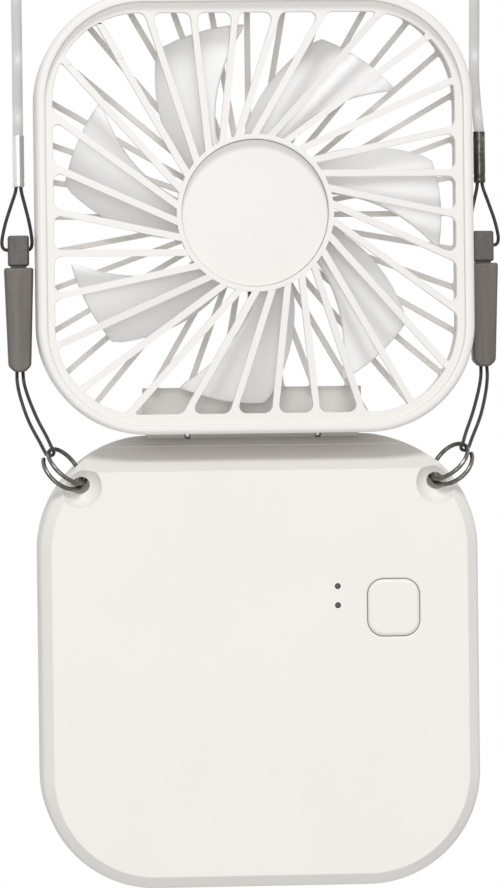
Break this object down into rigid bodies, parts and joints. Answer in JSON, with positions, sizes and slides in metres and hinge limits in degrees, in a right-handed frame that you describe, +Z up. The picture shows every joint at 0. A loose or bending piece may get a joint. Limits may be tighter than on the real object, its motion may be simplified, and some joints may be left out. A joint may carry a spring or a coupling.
{
  "type": "hanging neck fan",
  "caption": "Square rechargeable fan with a hinged grille head above a flat battery body, hung from a neck cord with release clips.",
  "frame": {"origin": "top of the neck cord's loop, where the neck holds the fan, in the middle of the fan's depth and width", "axes": "+Z up, +X to the viewer's right, -Y towards the viewer, out of the front grille and the button"},
  "size_m": [0.0928, 0.0219, 0.2063],
  "materials": {
    "white_shell": "fine matt moulding",
    "white_gloss": "smooth satin moulding",
    "clip_brown": "satin, worn grey-brown",
    "black_string": "thin woven string",
    "white_cord": "round braided cord",
    "ring_steel": "polished spring wire",
    "sleeve_silver": "satin nickel",
    "sleeve_gunmetal": "dark nickel",
    "light_guide": "smoked clear",
    "steel": "plain",
    "bronze": "sintered",
    "copper": "enamelled wire",
    "ferrite": "matt",
    "board_green": "lacquered",
    "cell": "foil pouch",
    "black_plastic": "plain",
    "led": "clear"
  },
  "bodies": {
    "fan_body": {"front_cover": "white_shell", "rear_cover": "white_shell", "clip_body_left": "clip_brown", "clip_body_right": "clip_brown", "lower_loop_left": "black_string", "lower_loop_right": "black_string", "split_ring_left": "ring_steel", "split_ring_right": "ring_steel", "led_light_guide": "light_guide", "body_screw_lower_left": "steel", "body_screw_upper_left": "steel", "body_screw_lower_right": "steel", "body_screw_upper_right": "steel", "hinge_pin_left": "steel", "hinge_pin_right": "steel", "hinge_washer_left": "steel", "hinge_washer_right": "steel", "charging_socket": "steel", "circuit_board": "board_green", "battery": "cell", "battery_lead_left": "black_plastic", "battery_lead_right": "black_plastic", "button_switch": "black_plastic", "status_led_upper": "led", "status_led_lower": "led"},
    "head": {"front_grille": "white_gloss", "hub_disc": "white_gloss", "rear_grille_shell": "white_shell", "motor_board": "board_green", "motor_stator": "steel", "motor_windings": "copper", "motor_bush_front": "bronze", "motor_bush_rear": "bronze", "motor_lead": "black_plastic"},
    "rotor": {"impeller": "white_gloss", "rotor_yoke": "steel", "magnet_ring": "ferrite", "motor_shaft": "steel"},
    "button": {"power_button": "white_shell", "switch_plunger": "black_plastic"},
    "neck_loop": {"neck_cord": "white_cord", "crimp_sleeve_left": "sleeve_silver", "crimp_sleeve_right": "sleeve_gunmetal", "upper_loop_left": "black_string", "upper_loop_right": "black_string", "clip_tongue_left": "clip_brown", "clip_tongue_right": "clip_brown"}
  },
  "joints": [
    {"name": "head_tilt", "type": "hinge", "parent": "fan_body", "child": "head", "pos_m": [0, 0.0089, -0.12235], "axis": [-1, 0, 0], "range_deg": [-15, 180]},
    {"name": "impeller_spin", "type": "hinge", "parent": "head", "child": "rotor", "pos_m": [0, 0, -0.08205], "axis": [0, -1, 0], "continuous": true},
    {"name": "button_press", "type": "slide", "parent": "fan_body", "child": "button", "axis": [0, 1, 0], "range_m": [0, 0.0005], "stiffness_N_per_m": 1000, "springref_m": -0.0005},
    {"name": "lanyard_release", "type": "slide", "parent": "fan_body", "child": "neck_loop", "axis": [0, 0, 1], "range_m": [0, 0.012]}
  ]
}
